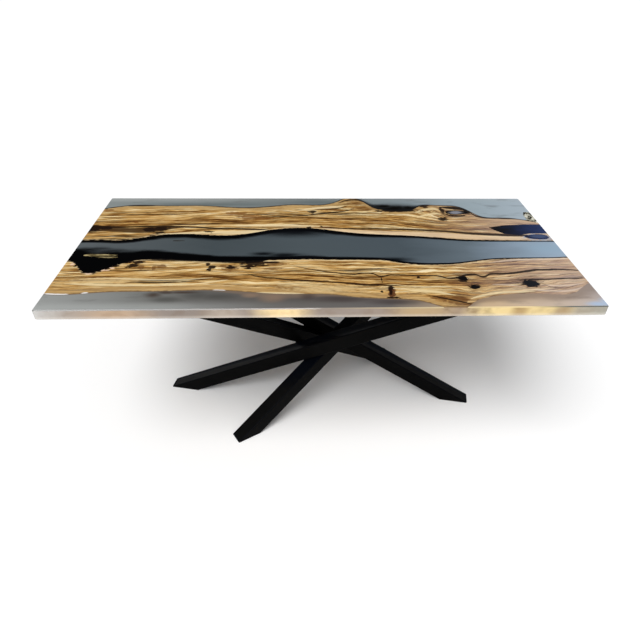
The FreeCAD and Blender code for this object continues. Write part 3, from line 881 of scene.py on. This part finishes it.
def burl_finish():
    """Swirled burl, grey and cream with black lines."""
    material, shader, (x, y, z) = finish("burl_wood")
    swirl = cloud(x * 40, y * 30, z * 30, 2.0)
    lines = cloud(x * 60 + swirl * 6.0, y * 50 + swirl * 4.0, z * 50, 2.0)
    return polished(material, shader, tones(lines.rise(0.3, 0.7), *burl_tones))


def splinter_finish():
    """Splinters lit from above in the dark resin, and a duller one further along."""
    material, shader, (x, y, z) = finish("splinter_wood")
    fibres = cloud(x * 30, y * 260, z * 60, 3.0)
    colour = tones(fibres.rise(0.3, 0.7), *splinter_tones)
    return polished(material, shader, paint(x.rise(-0.65, -0.60), colour, shade("#33302a")))


dress(["burl_fragment"], burl_finish())
dress(["river_splinters"], splinter_finish())
print("burl and splinters dressed")

# %% [markdown]
# ## Powder-coated base
# Powder coat is a thin skin of baked plastic: black, satin, with a fine orange-peel ripple. The faces that
# look up are painted a little bluer, a painted reflection of the sky. The imported tubes are faceted.
# Rounder ones drawn anew could drift from the model, so the base is copied, its loose triangles are
# joined and its rounded corners are shaded smooth.

# %% Powder coat
coat_tones = ((0.0, "#030303"), (1.0, "#070707"))


def coat_finish(name, lump_size, lump_height):
    """Black powder coat over a surface with lumps of one size: fine for tube, coarse for a weld."""
    material, shader, (x, y, z) = finish(name)
    lumps = cloud(x / lump_size, y / lump_size, z / lump_size, 2.0)
    patches = cloud(x * 9, y * 9, z * 9, 3.0)
    colour = tones(patches.rise(0.3, 0.7), *coat_tones)
    # Faces that look up are painted a little bluer: a painted reflection of the sky
    colour = paint(facing_wires(x.tree)[2].rise(0.4, 0.9), colour, shade("#080c14"))
    fit(shader, {"Base Color": colour, "Roughness": patches * 0.12 + 0.44, "Specular IOR Level": 0.03})
    rub(shader, lumps, 0.3, lump_height)
    return material


coat = coat_finish("black_powder_coat", 0.0015, 0.0002)
weld = coat_finish("coated_weld", 0.0045, 0.0012)
print("coats:", coat.name, weld.name)

# %% Base
merge_gap = 0.00001
sharp_angle = math.radians(35)


def joined(name):
    """A solid's mesh with its loose triangles joined."""
    shape = bmesh.new()
    shape.from_mesh(solids[name].data)
    bmesh.ops.remove_doubles(shape, verts=shape.verts, dist=merge_gap)
    return shape


def stand_for(node, name, mesh):
    """A piece with a mesh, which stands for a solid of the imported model."""
    piece = bpy.data.objects.new(name, mesh)
    bpy.context.collection.objects.link(piece)
    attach(piece, "root")
    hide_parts(node)


def smooth_copy(name, material):
    """A joined and smooth-shaded copy of a solid, which stands for it."""
    mesh = bpy.data.meshes.new(name + "_smooth")
    shape = joined(name)
    shape.to_mesh(mesh)
    shape.free()
    mesh.shade_smooth()
    mesh.set_sharp_from_angle(angle=sharp_angle)
    mesh.materials.clear()
    mesh.materials.append(material)
    stand_for(name, name + "_smooth", mesh)


base = [name for name in solids if "_leg_" in name and not name.endswith("_pad")]
for name in base:
    smooth_copy(name, coat)
for name in ("crossing_welds", "plate_welds"):
    smooth_copy(name, weld)
print("base dressed:", len(base), "solids and the welds")

# %% [markdown]
# ## Pads and fasteners
# Under each foot is a thin rubber pad, and the plates hang on zinc-plated bolts with washers. Sixteen
# bolts and washers repeat, so each is drawn once, in a geometry node group, and set on the sixteen
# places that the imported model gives. Each bolt stops at its own turn, as bolts do, from a fixed seed.

# %% Pads and inserts
rubber_tones = ((0.3, "#141414"), (0.7, "#242423"))
zinc_tones = ((0.0, "#9aa0a6"), (1.0, "#c9cdd0"))


def rubber_finish():
    """Dark rubber with a fine tooth."""
    material, shader, (x, y, z) = finish("foot_rubber")
    tooth = cloud(x * 900, y * 900, z * 900, 2.0)
    fit(shader, {"Base Color": tones(tooth, *rubber_tones), "Roughness": 0.85})
    rub(shader, tooth, 0.5, 0.0002)
    return material


def zinc_finish():
    """Zinc-plated steel, cloudy and a little blue."""
    material, shader, (x, y, z) = finish("zinc_steel")
    clouds = cloud(x * 400, y * 400, z * 400, 3.0)
    colour = tones(clouds.rise(0.3, 0.7), *zinc_tones)
    fit(shader, {"Base Color": colour, "Roughness": clouds * 0.2 + 0.22, "Metallic": 1.0})
    return material


pads = [name for name in solids if name.endswith("_pad")]
dress(pads, rubber_finish())
zinc = zinc_finish()
dress(["threaded_inserts"], zinc)
print("pads dressed:", len(pads))

# %% Where the bolts and washers are
def islands(name):
    """The lowest and highest corner of each separate piece of a solid."""
    shape = joined(name)
    seen = set()
    boxes = []
    for start in shape.verts:
        if start in seen:
            continue
        seen.add(start)
        reached = [start]
        for corner in reached:
            near = [edge.other_vert(corner) for edge in corner.link_edges]
            fresh = [other for other in near if other not in seen]
            seen.update(fresh)
            reached.extend(fresh)
        places = [corner.co for corner in reached]
        boxes.append([Vector([pick(place[i] for place in places) for i in range(3)]) for pick in (min, max)])
    shape.free()
    return boxes


def middles(boxes):
    """The middle of each box's lower face."""
    return [Vector(((low.x + high.x) / 2, (low.y + high.y) / 2, low.z)) for low, high in boxes]


bolt_boxes = islands("bolts")
washer_boxes = islands("washers")
print("bolts:", len(bolt_boxes), "washers:", len(washer_boxes))

# %% A geometry node group, a node at a time
class Group:
    """A geometry node group that is built a node at a time."""

    def __init__(self, name, sizes):
        self.tree = bpy.data.node_groups.new(name, "GeometryNodeTree")
        self.tree.interface.new_socket("Places", in_out="INPUT", socket_type="NodeSocketGeometry")
        for size in sizes:
            self.tree.interface.new_socket(size, in_out="INPUT", socket_type="NodeSocketFloat")
        self.tree.interface.new_socket("Pieces", in_out="OUTPUT", socket_type="NodeSocketGeometry")
        self.given = self.tree.nodes.new("NodeGroupInput").outputs
        self.result = self.tree.nodes.new("NodeGroupOutput").inputs[0]

    def node(self, kind, inputs, **settings):
        """Adds a node, sets or links its inputs by name, and returns it."""
        node = self.tree.nodes.new(kind)
        for name, value in settings.items():
            setattr(node, name, value)
        for name, value in inputs.items():
            if isinstance(value, bpy.types.NodeSocket):
                self.tree.links.new(value, node.inputs[name])
            else:
                node.inputs[name].default_value = value
        return node

    def sum(self, operation, *values):
        """A sum of sizes."""
        return self.node("ShaderNodeMath", dict(enumerate(values)), operation=operation).outputs[0]

    def raised(self, piece, height):
        """A piece moved up by a height."""
        lift = self.node("ShaderNodeCombineXYZ", {"Z": height}).outputs[0]
        return self.node("GeometryNodeTransform", {"Geometry": piece, "Translation": lift}).outputs[0]

    def set_out(self, piece, material, turn_seed):
        """Puts the piece on every place, each at its own turn, as one plain mesh."""
        turn = self.node("FunctionNodeRandomValue", {"Max": math.tau, "Seed": turn_seed}, data_type="FLOAT")
        spin = self.node("ShaderNodeCombineXYZ", {"Z": turn.outputs[1]}).outputs[0]
        copies = self.node("GeometryNodeInstanceOnPoints", {
            "Points": self.given[0], "Instance": piece, "Rotation": spin})
        real = self.node("GeometryNodeRealizeInstances", {"Geometry": copies.outputs[0]})
        coated = self.node("GeometryNodeSetMaterial", {"Geometry": real.outputs[0], "Material": material})
        self.tree.links.new(coated.outputs[0], self.result)


print("node groups ready")

# %% One bolt and one washer
head_sides, stem_sides, ring_steps = 6, 24, 32
eased_height_share, eased_radius_share = 0.16, 0.86
bolt_seed, washer_seed = 4, 9


def bolt_group():
    """A hexagon head with its corners eased, and a plain shank, standing on the head's outer end."""
    group = Group("bolt", ("Head across", "Head height", "Shank across", "Length"))
    _, across, height, shank, length = list(group.given)[:5]
    radius = group.sum("DIVIDE", across, math.sqrt(3))
    eased_radius = group.sum("MULTIPLY", radius, eased_radius_share)
    eased_height = group.sum("MULTIPLY", height, eased_height_share)
    eased_end = group.node("GeometryNodeMeshCone", {
        "Vertices": head_sides, "Radius Top": radius, "Radius Bottom": eased_radius, "Depth": eased_height})
    body_height = group.sum("SUBTRACT", height, eased_height)
    body = group.node("GeometryNodeMeshCylinder", {
        "Vertices": head_sides, "Radius": radius, "Depth": body_height})
    stem_length = group.sum("SUBTRACT", length, height)
    stem_radius = group.sum("MULTIPLY", shank, 0.5)
    stem = group.node("GeometryNodeMeshCylinder", {
        "Vertices": stem_sides, "Radius": stem_radius, "Depth": stem_length})
    body_middle = group.sum("MULTIPLY_ADD", body_height, 0.5, eased_height)
    stem_middle = group.sum("MULTIPLY_ADD", stem_length, 0.5, height)
    raised_body = group.raised(body.outputs[0], body_middle)
    raised_stem = group.raised(stem.outputs[0], stem_middle)
    whole = group.node("GeometryNodeJoinGeometry", {})
    for part in (eased_end.outputs[0], raised_body, raised_stem):
        group.tree.links.new(part, whole.inputs[0])
    group.set_out(whole.outputs[0], zinc, bolt_seed)
    return group


def washer_group():
    """A flat ring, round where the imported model's is faceted."""
    group = Group("washer", ("Across", "Hole", "Thickness"))
    _, across, hole, thickness = list(group.given)[:4]
    middle_radius = group.sum("MULTIPLY", group.sum("ADD", across, hole), 0.25)
    path = group.node("GeometryNodeCurvePrimitiveCircle", {"Resolution": ring_steps, "Radius": middle_radius})
    breadth = group.sum("MULTIPLY", group.sum("SUBTRACT", across, hole), 0.5)
    section = group.node("GeometryNodeCurvePrimitiveQuadrilateral", {"Width": breadth, "Height": thickness})
    ring = group.node("GeometryNodeCurveToMesh", {
        "Curve": path.outputs[0], "Profile Curve": section.outputs[0]})
    half_thickness = group.sum("MULTIPLY", thickness, 0.5)
    group.set_out(group.raised(ring.outputs[0], half_thickness), zinc, washer_seed)
    return group


print("bolt head with", head_sides, "sides, washer in", ring_steps, "steps")

# %% Set out the bolts and washers
def spread_out(name, group, places, sizes, node):
    """A plain mesh of what a group sets on places, which stands for a solid."""
    points = bpy.data.meshes.new(name)
    points.from_pydata(places, [], [])
    source = bpy.data.objects.new(name + "_source", points)
    bpy.context.collection.objects.link(source)
    modifier = source.modifiers.new("set_out", "NODES")
    modifier.node_group = group.tree
    for item in group.tree.interface.items_tree:
        if item.in_out == "INPUT" and item.name in sizes:
            modifier[item.identifier] = sizes[item.name]
    evaluated = source.evaluated_get(bpy.context.evaluated_depsgraph_get())
    mesh = bpy.data.meshes.new_from_object(evaluated)
    bpy.data.objects.remove(source)
    stand_for(node, name, mesh)
    print(name, "on", len(places), "places:", len(mesh.polygons), "faces")


shank_across = 0.008
hole_play = 0.001
bolt_low, bolt_high = bolt_boxes[0]
washer_low, washer_high = washer_boxes[0]
bolt_sizes = {
    "Head across": min(bolt_high.x - bolt_low.x, bolt_high.y - bolt_low.y),
    "Head height": washer_low.z - bolt_low.z,
    "Shank across": shank_across,
    "Length": bolt_high.z - bolt_low.z}
washer_sizes = {
    "Across": washer_high.x - washer_low.x,
    "Hole": shank_across + hole_play,
    "Thickness": washer_high.z - washer_low.z}
spread_out("bolt_set", bolt_group(), middles(bolt_boxes), bolt_sizes, "bolts")
spread_out("washer_set", washer_group(), middles(washer_boxes), washer_sizes, "washers")
